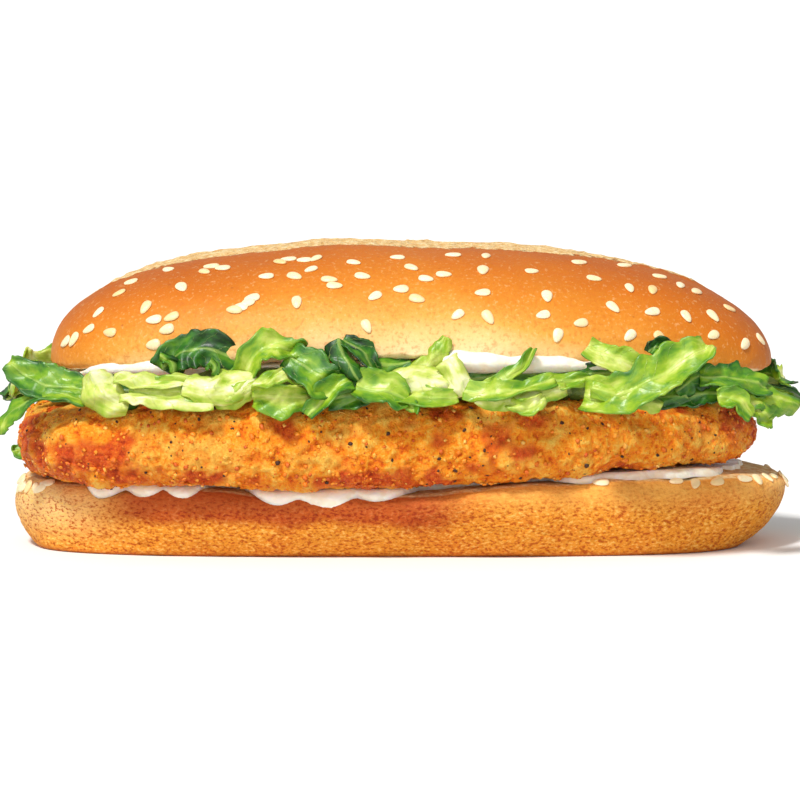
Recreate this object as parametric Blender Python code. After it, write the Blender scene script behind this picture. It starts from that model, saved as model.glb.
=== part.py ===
"""A long chicken burger: a split sesame roll with a breaded chicken fillet, shredded lettuce and mayonnaise.

Run it with blender --background --python part.py, or from Blender's text editor.
X runs along the roll, -Y is its open front and +Z is up.
The origin is on the table, under the middle of the whole.
Every piece is a closed body of rings: each ring runs round the burger, and the rings follow one another
from the middle of the piece's underside, out round its rim, and back in to the middle of its top.
"""

from math import cos, exp, pi, radians, sin

import bmesh
import bpy
from mathutils import Matrix, Vector, noise

MM = 0.001

# The roll, which drives the rest. Squareness 2 is an ellipse seen from above, and more is boxier.
ROLL_LENGTH = 178 * MM
ROLL_SQUARENESS = 2.5
TOTAL_HEIGHT = 69 * MM

# The heel, the roll's lower half: it spreads from a flat foot to its belly, its cut face curls up, and it
# lies a little back, so that the fillet hangs over its open front
HEEL_WIDTH = 72 * MM
HEEL_SET_BACK = 2 * MM
HEEL_THICKNESS = 14.8 * MM
HEEL_CURL = 1.7 * MM
HEEL_RIGHT_SWELL = 2.0 * MM
HEEL_BELLY_HEIGHT = 12.4 * MM
HEEL_BELLY_RISE = 1.4 * MM
HEEL_FOOT_WIDTH = 58 * MM
HEEL_FOOT_LENGTH = 161 * MM
HEEL_FOOT_SHIFT = -3 * MM
HEEL_FOOT_SQUARENESS = 3.4
HEEL_FLARE = 1.8
HEEL_SHOULDER = 4 * MM

# The fillet: it lies turned a little, its right end lifted by the filling and both ends thinner
FILLET_LENGTH = 168 * MM
FILLET_WIDTH = 70 * MM
FILLET_LEFT_SQUARENESS = 3.0
FILLET_RIGHT_SQUARENESS = 2.2
FILLET_CENTRE = Vector((-3 * MM, -4.5 * MM, 0))
FILLET_TURN = radians(2.6)
FILLET_BOTTOM = 16.4 * MM
FILLET_TOP = 35.4 * MM
FILLET_RIM = 9 * MM
FILLET_RIM_BULGE = 0.75
FILLET_RIM_UPRIGHT = 0.9
FILLET_LEFT_LIFT = 0.8 * MM
FILLET_RIGHT_LIFT = 3.4 * MM
FILLET_END_DROP = 3.6 * MM
FILLET_LUMP = 0.7 * MM
FILLET_LUMP_SIZE = 14 * MM

# The crown, the roll's upper half: an arched cut face, a tucked-in lip and a dome
CROWN_LENGTH = 165 * MM
CROWN_WIDTH = 75 * MM
CROWN_SHIFT = 2 * MM
CROWN_SEAT = 40.6 * MM
CROWN_ARCH = 4.2 * MM
CROWN_LIP = 1.6 * MM
CROWN_LIP_TUCK = 3 * MM
CROWN_CREST_BACK = 6 * MM
CROWN_LEFT_FULLNESS = 3.8
CROWN_RIGHT_FULLNESS = 3.0
CROWN_SIDE_FULLNESS = 2.4

# The sauce layers. A lobe, where sauce has squeezed out at the front, has a place along the roll and a reach
GAP = 0.35 * MM
SAUCE_SQUARENESS = 3.0
LOWER_SAUCE_LENGTH = 156 * MM
LOWER_SAUCE_WIDTH = 64 * MM
LOWER_SAUCE_LOBES = (
    (-62 * MM, 10 * MM),
    (-44 * MM, 7 * MM),
    (-20 * MM, 14 * MM),
    (48 * MM, 9 * MM),
    (68 * MM, 9 * MM),
)
LOWER_SAUCE_LOBE_DEPTH = 2.2 * MM
UPPER_SAUCE_LENGTH = 152 * MM
UPPER_SAUCE_WIDTH = 68 * MM
UPPER_SAUCE_THICKNESS = 2.0 * MM
UPPER_SAUCE_LOBES = ((-62 * MM, 9 * MM), (14 * MM, 8 * MM), (33 * MM, 12 * MM))
UPPER_SAUCE_LOBE_DEPTH = 1.6 * MM

# The lettuce: a bed on the fillet, and a ruffled collar round it with a hanging and a standing lip
LETTUCE_LENGTH = 181.5 * MM
LETTUCE_WIDTH = 86 * MM
LETTUCE_BED_LENGTH = 163.4 * MM
LETTUCE_BED_WIDTH = 74 * MM
LETTUCE_RUFFLE = 1.5 * MM
LETTUCE_RUFFLE_SIZE = 11 * MM
LETTUCE_LIP_DROP = 1.6 * MM
LETTUCE_LIP_RISE = 2.6 * MM
LETTUCE_LEFT_RISE = 5 * MM
LETTUCE_LEFT_DROOP = 8.5 * MM
LETTUCE_RIGHT_DROOP = 6 * MM

# Steps round the burger, and the shares of a face's outline at which its rings lie, from the middle out
BREAD_STEPS = 60
LETTUCE_STEPS = 84
SAUCE_STEPS = 60
FACE_SHARES = (0.4, 0.75)


def clear_scene():
    for obj in list(bpy.data.objects):
        bpy.data.objects.remove(obj, do_unlink=True)


def food_material(name, colour, roughness):
    material = bpy.data.materials.new(name)
    material.use_nodes = True
    shader = material.node_tree.nodes["Principled BSDF"]
    shader.inputs["Base Color"].default_value = (*colour, 1)
    shader.inputs["Roughness"].default_value = roughness
    shader.inputs["Metallic"].default_value = 0
    return material


def smooth(value, low, high):
    """0 below low, 1 above high, and an even S between them."""
    share = min(1, max(0, (value - low) / (high - low)))
    return share * share * (3 - 2 * share)


def lobes(x, angle, places):
    """How far sauce has squeezed out here, as a share: round humps at these places, on the front only."""
    humps = sum(exp(-(((x - place) / reach) ** 2)) for place, reach in places)
    return humps * smooth(-sin(angle), 0.2, 0.8)


def angles(steps):
    return [2 * pi * i / steps for i in range(steps)]


def oval(angle, length, width, squareness):
    """The point at this angle of an oval that is an ellipse at squareness 2 and more boxy above it."""
    across, along = sin(angle), cos(angle)
    stretch = (abs(along) ** squareness + abs(across) ** squareness) ** (-1 / squareness)
    return Vector((length / 2 * along * stretch, width / 2 * across * stretch, 0))


def at_height(point, height):
    return Vector((point.x, point.y, height))


def face_rings(outline, shares, height):
    """Rings across a face at these shares of its outline, each point as high as the face is at its x."""
    return [[at_height(p * share, height(p.x * share)) for p in outline] for share in shares]


def body_of_rings(name, rings, material):
    """A closed mesh through rings of points, each end closed onto the middle of its ring."""
    mesh = bmesh.new()
    loops = [[mesh.verts.new(point) for point in ring] for ring in rings]
    count = len(rings[0])
    for lower, upper in zip(loops, loops[1:]):
        for i in range(count):
            j = (i + 1) % count
            mesh.faces.new((lower[i], lower[j], upper[j], upper[i]))
    for loop, turn in ((loops[0], -1), (loops[-1], 1)):
        middle = mesh.verts.new(sum((vert.co for vert in loop), Vector()) / count)
        for i in range(count):
            j = (i + 1) % count
            mesh.faces.new((loop[i], loop[j], middle)[::turn])
    data = bpy.data.meshes.new(name)
    mesh.to_mesh(data)
    mesh.free()
    data.shade_smooth()
    data.materials.append(material)
    obj = bpy.data.objects.new(name, data)
    bpy.context.scene.collection.objects.link(obj)
    return obj


def heel_cut_height(x):
    """Height of the heel's cut face, which curls up a little at both ends and is thicker on its right."""
    swell = HEEL_RIGHT_SWELL * smooth(x, 0, 38 * MM) * (1 - smooth(x, 62 * MM, 88 * MM))
    return HEEL_THICKNESS + HEEL_CURL * (2 * x / ROLL_LENGTH) ** 2 + swell


def crown_cut_height(x):
    """Height of the crown's cut face, which arches over the filling."""
    return CROWN_SEAT + CROWN_ARCH * (1 - (2 * (x - CROWN_SHIFT) / CROWN_LENGTH) ** 2)


def make_heel():
    """Flat foot, sides that flare out to a belly, a rounded shoulder, and the cut face."""
    around = angles(BREAD_STEPS)
    belly = [oval(a, ROLL_LENGTH, HEEL_WIDTH, ROLL_SQUARENESS) for a in around]
    shift = Vector((HEEL_FOOT_SHIFT, 0, 0))
    foot = [oval(a, HEEL_FOOT_LENGTH, HEEL_FOOT_WIDTH, HEEL_FOOT_SQUARENESS) + shift for a in around]
    inset = 2 * HEEL_SHOULDER
    cut = [oval(a, ROLL_LENGTH - inset, HEEL_WIDTH - inset, ROLL_SQUARENESS) for a in around]
    heights = [HEEL_BELLY_HEIGHT + HEEL_BELLY_RISE * 2 * p.x / ROLL_LENGTH for p in belly]
    rings = face_rings(foot, (*FACE_SHARES, 1), lambda x: 0)
    side_steps = 7
    for step in range(1, side_steps + 1):
        up = step / side_steps
        out = 1 - (1 - up) ** HEEL_FLARE
        rings.append([at_height(f.lerp(b, out), height * up) for f, b, height in zip(foot, belly, heights)])
    shoulder_steps = 4
    for step in range(1, shoulder_steps + 1):
        turn = pi / 2 * step / shoulder_steps
        ring = []
        for b, c, height in zip(belly, cut, heights):
            rise = (heel_cut_height(c.x) - height) * sin(turn)
            ring.append(at_height(c.lerp(b, cos(turn)), height + rise))
        rings.append(ring)
    rings += face_rings(cut, reversed(FACE_SHARES), heel_cut_height)
    heel = body_of_rings("bun_heel", rings, food_material("heel_crust", (0.75, 0.33, 0.08), 0.7))
    heel.location.y = HEEL_SET_BACK
    return heel


def fillet_bottom_height(x):
    """Underside of the fillet, which lifts a little at its left end and more at its right."""
    left = FILLET_LEFT_LIFT * smooth(-x, 45 * MM, 80 * MM)
    right = FILLET_RIGHT_LIFT * smooth(x, -5 * MM, 75 * MM)
    return FILLET_BOTTOM + left + right


def fillet_top_height(x):
    """Top of the fillet, which drops towards both ends."""
    return FILLET_TOP - FILLET_END_DROP * abs(2 * x / FILLET_LENGTH) ** 4


def fillet_outline(angle, inset):
    """The fillet from above, blunt at its left end and more pointed at its right."""
    pointed = smooth(cos(angle), -0.3, 0.6)
    squareness = FILLET_LEFT_SQUARENESS + (FILLET_RIGHT_SQUARENESS - FILLET_LEFT_SQUARENESS) * pointed
    return oval(angle, FILLET_LENGTH - 2 * inset, FILLET_WIDTH - 2 * inset, squareness)


def make_fillet():
    """A flat, blunt fillet with an uneven rim, turned a little so that its left front overhangs the heel."""
    around = angles(BREAD_STEPS)
    outer = [fillet_outline(a, 0) for a in around]
    inner = [fillet_outline(a, FILLET_RIM) for a in around]
    rings = face_rings(inner, FACE_SHARES, fillet_bottom_height)
    rim_steps = 8
    for step in range(rim_steps + 1):
        turn = pi * (step / rim_steps - 0.5)
        side = 1 if turn > 0 else -1
        ring = []
        for near, far in zip(inner, outer):
            p = near.lerp(far, abs(cos(turn)) ** FILLET_RIM_BULGE)
            low, high = fillet_bottom_height(p.x), fillet_top_height(p.x)
            p.z = (low + high) / 2 + (high - low) / 2 * side * abs(sin(turn)) ** FILLET_RIM_UPRIGHT
            uneven = noise.noise(p / FILLET_LUMP_SIZE) * FILLET_LUMP * abs(cos(turn))
            ring.append(p + far.normalized() * uneven)
        rings.append(ring)
    rings += face_rings(inner, reversed(FACE_SHARES), fillet_top_height)
    fillet = body_of_rings("chicken_fillet", rings, food_material("breading", (0.88, 0.38, 0.06), 0.6))
    fillet.location = FILLET_CENTRE
    fillet.rotation_euler.z = FILLET_TURN
    return fillet


def make_crown():
    """The arched cut face, a tucked-in lip, and a dome whose crest lies behind the middle."""
    around = angles(BREAD_STEPS)
    tuck = 2 * CROWN_LIP_TUCK
    cut = [oval(a, CROWN_LENGTH - tuck, CROWN_WIDTH - tuck, ROLL_SQUARENESS) for a in around]
    belly = [oval(a, CROWN_LENGTH, CROWN_WIDTH, ROLL_SQUARENESS) for a in around]

    def cut_height(x):
        return crown_cut_height(x + CROWN_SHIFT)

    def above_cut(point, rise):
        return at_height(point, cut_height(point.x) + rise)

    rings = face_rings(cut, (*FACE_SHARES, 1), cut_height)
    lip_steps = 3
    for step in range(1, lip_steps + 1):
        turn = pi / 2 * step / lip_steps
        rise = CROWN_LIP * (1 - cos(turn))
        rings.append([above_cut(c.lerp(b, sin(turn)), rise) for c, b in zip(cut, belly)])
    crest = Vector((0, CROWN_CREST_BACK, 0))
    dome_height = TOTAL_HEIGHT - CROWN_SEAT - CROWN_ARCH - CROWN_LIP
    dome_steps = 12
    for step in range(1, dome_steps):
        turn = pi / 2 * step / dome_steps
        ring = []
        for a, b in zip(around, belly):
            end_fullness = CROWN_RIGHT_FULLNESS if cos(a) > 0 else CROWN_LEFT_FULLNESS
            fullness = CROWN_SIDE_FULLNESS + (end_fullness - CROWN_SIDE_FULLNESS) * cos(a) ** 2
            share = cos(turn) ** (2 / fullness)
            ring.append(above_cut(crest.lerp(b, share), CROWN_LIP + dome_height * sin(turn)))
        rings.append(ring)
    crown = body_of_rings("bun_crown", rings, food_material("crown_crust", (0.8, 0.33, 0.08), 0.5))
    crown.location.x = CROWN_SHIFT
    return crown


def make_lower_sauce():
    """A sheet that fills the space between the heel and the fillet, with lobes at the front."""
    fillet_slope = 4 * MM
    rim_swell = 1.012

    def floor(x):
        return heel_cut_height(x) + GAP

    def ceiling(x):
        return min(fillet_bottom_height(x), fillet_bottom_height(x + fillet_slope)) - GAP

    outline = []
    for a in angles(SAUCE_STEPS):
        p = oval(a, LOWER_SAUCE_LENGTH, LOWER_SAUCE_WIDTH, SAUCE_SQUARENESS)
        p.y -= LOWER_SAUCE_LOBE_DEPTH * lobes(p.x, a, LOWER_SAUCE_LOBES)
        outline.append(p)
    rings = face_rings(outline, (*FACE_SHARES, 1), floor)
    rings.append([at_height(p * rim_swell, (floor(p.x) + ceiling(p.x)) / 2) for p in outline])
    rings += face_rings(outline, (1, *reversed(FACE_SHARES)), ceiling)
    sauce = body_of_rings("mayo_lower", rings, food_material("mayonnaise_below", (0.93, 0.88, 0.78), 0.25))
    sauce.location.y = HEEL_SET_BACK
    return sauce


def make_upper_sauce():
    """A sheet under the crown's cut face, with lobes at the front."""
    outline = []
    for a in angles(SAUCE_STEPS):
        p = oval(a, UPPER_SAUCE_LENGTH, UPPER_SAUCE_WIDTH, SAUCE_SQUARENESS)
        p.y -= UPPER_SAUCE_LOBE_DEPTH * lobes(p.x, a, UPPER_SAUCE_LOBES)
        p.x += CROWN_SHIFT
        outline.append(p)
    profile = ((0.4, 1), (0.8, 1), (1, 0.9), (1.012, 0.5), (1, 0.1), (0.8, 0), (0.4, 0))
    rings = []
    for share, depth in profile:
        below_cut = GAP + UPPER_SAUCE_THICKNESS * depth
        rings += face_rings(outline, (share,), lambda x: crown_cut_height(x) - below_cut)
    return body_of_rings("mayo_upper", rings, food_material("mayonnaise_above", (0.95, 0.92, 0.84), 0.25))


def make_lettuce():
    """The heap of lettuce out to its uneven outline: a bed on the fillet and a ruffled collar that stands
    up in front of the crown, hangs over the fillet, and droops at both ends."""
    fillet_slope_left, fillet_slope_right = 3 * MM, 6 * MM

    def bed_floor(x):
        return max(fillet_top_height(x - fillet_slope_left), fillet_top_height(x + fillet_slope_right)) + GAP

    def bed_roof(x):
        return crown_cut_height(x) - 2 * GAP - UPPER_SAUCE_THICKNESS

    def collar(angle, share, height):
        """A point of the collar, at this share of its length and a little less of its width."""
        width_share = 1 - 2 * (1 - share)
        place = oval(angle, LETTUCE_LENGTH * share, LETTUCE_WIDTH * width_share, ROLL_SQUARENESS)
        return at_height(place, height)

    columns = []
    for a in angles(LETTUCE_STEPS):
        left = smooth(-cos(a), 0.8, 0.97)
        right = smooth(cos(a), 0.8, 0.97)
        outline = collar(a, 1, 0)
        ruffle = outline.normalized() * noise.noise(outline / LETTUCE_RUFFLE_SIZE) * LETTUCE_RUFFLE
        fringe = 1 + 0.5 * noise.noise(outline / LETTUCE_RUFFLE_SIZE + Vector((7, 3, 5)))
        bed = oval(a, LETTUCE_BED_LENGTH, LETTUCE_BED_WIDTH, ROLL_SQUARENESS)
        floor, roof = bed_floor(bed.x), bed_roof(bed.x)
        drop = LETTUCE_LIP_DROP * fringe * (1 - left - right)
        drop += LETTUCE_LEFT_DROOP * left + LETTUCE_RIGHT_DROOP * right
        rise = LETTUCE_LIP_RISE * (fringe - 0.8 * max(left, right)) + LETTUCE_LEFT_RISE * left
        column = [at_height(bed * share, bed_floor(bed.x * share)) for share in (*FACE_SHARES, 1)]
        column += [
            collar(a, 0.98, floor + 0.2 * MM),
            collar(a, 0.992, floor - drop),
            collar(a, 1, floor - drop / 2) + ruffle,
            collar(a, 0.996, roof + LETTUCE_LEFT_RISE * left) + ruffle,
            collar(a, 0.984, roof + rise),
            collar(a, 0.97, roof),
        ]
        column += [at_height(bed * share, bed_roof(bed.x * share)) for share in reversed(FACE_SHARES)]
        columns.append(column)
    rings = list(zip(*columns))
    return body_of_rings("lettuce", rings, food_material("lettuce_leaf", (0.25, 0.5, 0.06), 0.4))


def centre_over_origin(pieces):
    """Put the origin under the middle of the whole, which the uneven lettuce has moved a little off it."""
    bpy.context.view_layer.update()
    points = [piece.matrix_world @ vert.co for piece in pieces for vert in piece.data.vertices]
    middle_x = (min(p.x for p in points) + max(p.x for p in points)) / 2
    middle_y = (min(p.y for p in points) + max(p.y for p in points)) / 2
    for piece in pieces:
        piece.matrix_world = Matrix.Translation((-middle_x, -middle_y, 0)) @ piece.matrix_world


clear_scene()
centre_over_origin(
    [make_heel(), make_lower_sauce(), make_fillet(), make_lettuce(), make_upper_sauce(), make_crown()]
)
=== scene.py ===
"""A long chicken burger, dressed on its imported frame: roll, fillet, lettuce and mayonnaise. Metres, +Z up."""

from math import cos, pi, radians, sin
from random import Random

import bpy
import numpy as np
from mathutils import Matrix, Vector, noise
from mathutils.bvhtree import BVHTree


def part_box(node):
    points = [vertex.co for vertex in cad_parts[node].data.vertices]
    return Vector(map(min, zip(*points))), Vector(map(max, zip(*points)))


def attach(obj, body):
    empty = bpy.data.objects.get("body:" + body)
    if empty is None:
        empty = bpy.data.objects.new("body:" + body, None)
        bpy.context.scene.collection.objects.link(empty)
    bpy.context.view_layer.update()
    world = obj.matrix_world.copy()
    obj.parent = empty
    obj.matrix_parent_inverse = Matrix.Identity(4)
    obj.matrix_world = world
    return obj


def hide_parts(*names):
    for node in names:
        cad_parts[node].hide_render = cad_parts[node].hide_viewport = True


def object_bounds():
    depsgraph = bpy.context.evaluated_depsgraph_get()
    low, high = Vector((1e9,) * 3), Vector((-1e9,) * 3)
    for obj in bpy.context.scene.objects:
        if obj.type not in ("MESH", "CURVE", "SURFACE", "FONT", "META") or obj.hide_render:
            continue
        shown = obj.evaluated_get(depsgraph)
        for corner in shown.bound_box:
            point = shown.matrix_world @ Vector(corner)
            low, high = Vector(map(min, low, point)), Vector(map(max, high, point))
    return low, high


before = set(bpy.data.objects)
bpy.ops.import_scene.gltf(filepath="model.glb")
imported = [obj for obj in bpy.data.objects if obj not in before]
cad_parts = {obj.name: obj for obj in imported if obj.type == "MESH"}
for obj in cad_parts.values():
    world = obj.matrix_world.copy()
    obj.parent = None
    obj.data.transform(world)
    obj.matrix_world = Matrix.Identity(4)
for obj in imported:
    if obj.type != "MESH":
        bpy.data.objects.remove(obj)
cad_low, cad_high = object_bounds()
MM = 0.001


# ---- The heel ------------------------------------------------------------------------
# The roll's lower half, wheat bread baked in a long pan. Its side is a matte golden crust, pitted all over
# where the dough's bubbles met the pan, and smoother and paler on the shoulder under the cut. It lies on
# its flat foot.

HEEL_THICKNESS = 14.8 * MM
HEEL_CURL = 1.7 * MM
HEEL_RIGHT_SWELL = 2.0 * MM
HEEL_BELLY_HEIGHT = 12.4 * MM
HEEL_BELLY_RISE = 1.4 * MM
HEEL_SHOULDER = 4 * MM
HEEL_FOOT = (161 * MM, 58 * MM)
HEEL_FOOT_SHIFT = -3 * MM
HEEL_FOOT_SQUARENESS = 3.4
HEEL_FLARE = 1.8
ROLL_SQUARENESS = 2.5


def smooth(value, low, high):
    """0 below low, 1 above high, and an even S between them."""
    share = np.clip((np.asarray(value) - low) / (high - low), 0, 1)
    return share * share * (3 - 2 * share)


def oval(turns, length, width, squareness):
    """Points at these angles of an oval seen from above, an ellipse at squareness 2 and boxier above it."""
    along, across = np.cos(turns), np.sin(turns)
    stretch = (np.abs(along) ** squareness + np.abs(across) ** squareness) ** (-1 / squareness)
    return np.stack((length / 2 * along * stretch, width / 2 * across * stretch), 1)


def even_turns(count, length, width, squareness):
    """Angles that step evenly along the oval's rim."""
    fine = np.linspace(0, 2 * pi, 20 * count + 1)
    steps = np.linalg.norm(np.diff(oval(fine, length, width, squareness), axis=0), axis=1)
    run = np.concatenate(([0], np.cumsum(steps)))
    return np.interp(np.arange(count) / count * run[-1], run, fine)


def ring_at(points, height):
    """A ring of points seen from above, raised to a height or to one height for each point."""
    return np.column_stack((points, np.broadcast_to(height, len(points))))


def face_normals(rings):
    """The outward direction at each point of a grid of rings running round the burger, lowest first."""
    round_about = np.roll(rings, -1, 1) - np.roll(rings, 1, 1)
    upwards = np.gradient(rings, axis=0)
    across = np.cross(round_about, upwards)
    return across / np.maximum(np.linalg.norm(across, axis=2, keepdims=True), 1e-12)


def relief(points, layers, seed=0):
    """Noise at each point: the sum of layers of (grain size, height), rising and falling round nothing."""
    flat = points.reshape(-1, 3)
    total = np.zeros(len(flat))
    for number, (size, height) in enumerate(layers):
        offset = Vector((seed + 7.3 * number, 2.1 * seed, 5.7))
        scaled = [Vector(p) + offset for p in (flat / size).tolist()]
        total += height * np.array([noise.noise(p) for p in scaled])
    return total.reshape(points.shape[:-1])


def make_piece(name, corners, faces, material, **values):
    """A mesh object shaded smooth, with any values that it keeps for each corner."""
    mesh = bpy.data.meshes.new(name)
    mesh.from_pydata(corners.tolist(), [], faces.tolist() if hasattr(faces, "tolist") else faces)
    for key, kept in values.items():
        kept = np.asarray(kept, np.float32)
        kind, field = ("FLOAT_VECTOR", "vector") if kept.ndim == 2 else ("FLOAT", "value")
        mesh.attributes.new(key, kind, "POINT").data.foreach_set(field, kept.ravel())
    mesh.shade_smooth()
    mesh.materials.append(material)
    piece = bpy.data.objects.new(name, mesh)
    bpy.context.scene.collection.objects.link(piece)
    return piece


def body_of_rings(name, rings, material, **values):
    """A closed mesh through a grid of rings, each end closed onto the middle of its ring."""
    ring_count, around = rings.shape[:2]
    number = np.arange(ring_count * around).reshape(ring_count, around)
    after = np.roll(number, -1, 1)
    quads = np.stack((number[:-1], after[:-1], after[1:], number[1:]), 2).reshape(-1, 4).tolist()
    middles = (rings[0].mean(0), rings[-1].mean(0))
    below, above = ring_count * around, ring_count * around + 1
    fans = [(after[0, i], number[0, i], below) for i in range(around)]
    fans += [(number[-1, i], after[-1, i], above) for i in range(around)]
    corners = np.concatenate((rings.reshape(-1, 3), middles))
    kept = {}
    for key, value in values.items():
        kept[key] = np.append(value.ravel(), (value[0].mean(), value[-1].mean()))
    return make_piece(name, corners, quads + [tuple(int(v) for v in fan) for fan in fans], material, **kept)


class Wire:
    """One socket of a tree of nodes. Arithmetic on it adds Math nodes, and node() adds any other kind."""

    def __init__(self, tree, socket=None):
        self.tree = tree
        self.socket = socket

    def node(self, kind, settings=None, sockets=None, output=0):
        """Add a node, set it up, give its sockets their values or links, and wrap one of its outputs."""
        made = self.tree.nodes.new("ShaderNode" + kind)
        for name, value in (settings or {}).items():
            if name == "stops":
                ramp = made.color_ramp.elements
                while len(ramp) < len(value):
                    ramp.new(1)
                for stop, (place, colour) in zip(ramp, value):
                    stop.position = place
                    stop.color = colour
            else:
                setattr(made, name, value)
        for name, value in (sockets or {}).items():
            if isinstance(value, Wire):
                self.tree.links.new(value.socket, made.inputs[name])
            else:
                made.inputs[name].default_value = value
        return Wire(self.tree, made.outputs[output] if len(made.outputs) else None)

    def maths(self, operation, *values):
        return self.node("Math", {"operation": operation}, dict(enumerate(values)))

    def __add__(self, other):
        return self.maths("ADD", self, other)

    def __sub__(self, other):
        return self.maths("SUBTRACT", self, other)

    def __rsub__(self, other):
        return self.maths("SUBTRACT", other, self)

    def __mul__(self, other):
        return self.maths("MULTIPLY", self, other)

    def __pow__(self, other):
        return self.maths("POWER", self, other)

    def __abs__(self):
        return self.maths("ABSOLUTE", self)

    __radd__ = __add__
    __rmul__ = __mul__

    def between(self, low, high):
        """0 at low, 1 at high, and an even S between them; low may be above high."""
        settings = {"interpolation_type": "SMOOTHSTEP"}
        if low > high:
            return 1 - self.between(high, low)
        return self.node("MapRange", settings, {"Value": self, "From Min": low, "From Max": high})

    def axis(self, name):
        return self.node("SeparateXYZ", {}, {"Vector": self}, name)

    def stretched(self, x, y, z):
        return self.node("VectorMath", {"operation": "MULTIPLY"}, {0: self, 1: (x, y, z)})

    def grain(self, size, detail=3, roughness=0.5):
        """Soft noise, from about 0.25 to 0.75, with grains of this size."""
        sockets = {"Vector": self, "Scale": 1 / size, "Detail": detail, "Roughness": roughness}
        return self.node("TexNoise", {}, sockets, "Fac")

    def cells(self, size):
        """Distance to the nearest of points scattered this far apart."""
        return self.node("TexVoronoi", {}, {"Vector": self, "Scale": 1 / size}, "Distance")

    def colours(self, *stops):
        """The colour at this value of a ramp of (place, linear colour)."""
        return self.node("ValToRGB", {"stops": stops}, {"Fac": self}, "Color")

    def tint(self, under, over):
        """The colour under, painted with the colour over as far as this mask says."""
        return self.mix("MIX", under, over)

    def mix(self, way, under, over):
        sockets = {0: self, 6: under, 7: over}
        return self.node("Mix", {"data_type": "RGBA", "blend_type": way}, sockets, 2)

    def bumps(self):
        """A surface direction that rises by this value, in metres."""
        return self.node("Bump", {}, {"Height": self, "Distance": 1.0, "Strength": 1.0}, "Normal")

    def kept(self, name, output="Fac"):
        """A value that the mesh keeps at its corners."""
        return self.node("Attribute", {"attribute_name": name}, {}, output)


def srgb(red, green, blue):
    """A linear colour from one as a screen gives it, 0 to 255."""
    shares = (red / 255, green / 255, blue / 255)
    return tuple(((s + 0.055) / 1.055) ** 2.4 if s > 0.04045 else s / 12.92 for s in shares) + (1,)


def new_material(name):
    """An empty material, and the wire of its own coordinates, which are the frame's."""
    material = bpy.data.materials.new(name)
    material.use_nodes = True
    material.node_tree.nodes.clear()
    return material, Wire(material.node_tree).node("TexCoord", {}, {}, "Object")


def finish_surface(place, sockets, sunk=0.0, radius=(1, 0.2, 0.1), scale=50 * MM):
    """The surface, with how much light sinks in, how far each colour of it goes, and at what size."""
    sockets.update({"Subsurface Weight": sunk, "Subsurface Radius": radius, "Subsurface Scale": scale})
    surface = place.node("BsdfPrincipled", {}, sockets, "BSDF")
    place.node("OutputMaterial", {}, {"Surface": surface})


def heel_crust():
    """Golden crust: darker in its pits, paler at both ends, with a painted shadow on its left front."""
    material, place = new_material("heel_crust")
    height, along = place.axis("Z"), place.axis("X")
    pores = place.stretched(0.75, 0.75, 1.25)
    patches = place.grain(11 * MM, 3)
    low = (height + 9 * MM * patches).between(21 * MM, 13 * MM)
    crust = low.tint(srgb(240, 170, 80), srgb(234, 152, 44))
    end = (22 * MM * patches - along).between(64 * MM, 94 * MM) * height.between(0, 11 * MM)
    end = end + (22 * MM * patches + along).between(84 * MM, 104 * MM) * height.between(9 * MM, 15 * MM) * 0.6
    crust = (end * 0.85).tint(crust, srgb(246, 204, 136))
    crust = (patches.between(0.52, 0.66) * 0.4).tint(crust, srgb(222, 122, 30))
    fine = pores.grain(0.75 * MM, 3, 0.6)
    pitted = height.between(15 * MM, 10 * MM)
    crust = (fine.between(0.5, 0.36) * (0.3 + 0.6 * pitted)).tint(crust, srgb(184, 80, 14))
    crust = (fine.between(0.54, 0.66) * (0.3 + 0.5 * pitted)).tint(crust, srgb(255, 200, 104))
    # Painted shadow: the front above about 6 mm high, from the left end to just past the middle, is darkened as
    # if the fillet's overhang shades it.
    front = place.axis("Y").between(-20 * MM, -28 * MM)
    painted_shadow = (height + 5 * MM * (patches - 0.5)).between(6.0 * MM, 9.5 * MM) * front
    painted_shadow = painted_shadow * (along + 12 * MM * patches).between(-68 * MM, -52 * MM) * along.between(26 * MM, 2 * MM)
    crust = painted_shadow.mix("MULTIPLY", crust, srgb(204, 146, 150))
    foot = height.between(1.3 * MM, 0.2 * MM)
    crust = (foot * 0.7).tint(crust, srgb(190, 96, 38))
    cut = place.grain(1.6 * MM, 4).between(0.4, 0.6)
    inside = cut.tint(srgb(226, 170, 104), srgb(246, 216, 160))
    up = place.node("NewGeometry", {}, {}, "Normal").axis("Z")
    crust = (up.between(0.86, 0.97) * height.between(13 * MM, 14.6 * MM)).tint(crust, inside)
    bump = (fine * 0.5 * MM + pores.grain(0.35 * MM, 2) * 0.12 * MM).bumps()
    sockets = {"Base Color": crust, "Roughness": 0.5 + 0.3 * fine, "Normal": bump, "Specular IOR Level": 0.2}
    finish_surface(place, sockets, 0.08, (1, 0.5, 0.2), 0.8 * MM)
    return material


heel_low, heel_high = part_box("bun_heel")
heel_middle = (heel_low + heel_high) / 2
heel_length, heel_width = heel_high.x - heel_low.x, heel_high.y - heel_low.y


def heel_cut_height(x):
    """Height of the heel's cut face, which curls up at both ends and is thicker on its right."""
    swell = HEEL_RIGHT_SWELL * smooth(x, 0, 38 * MM) * (1 - smooth(x, 62 * MM, 88 * MM))
    return HEEL_THICKNESS + HEEL_CURL * (2 * x / heel_length) ** 2 + swell


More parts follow.
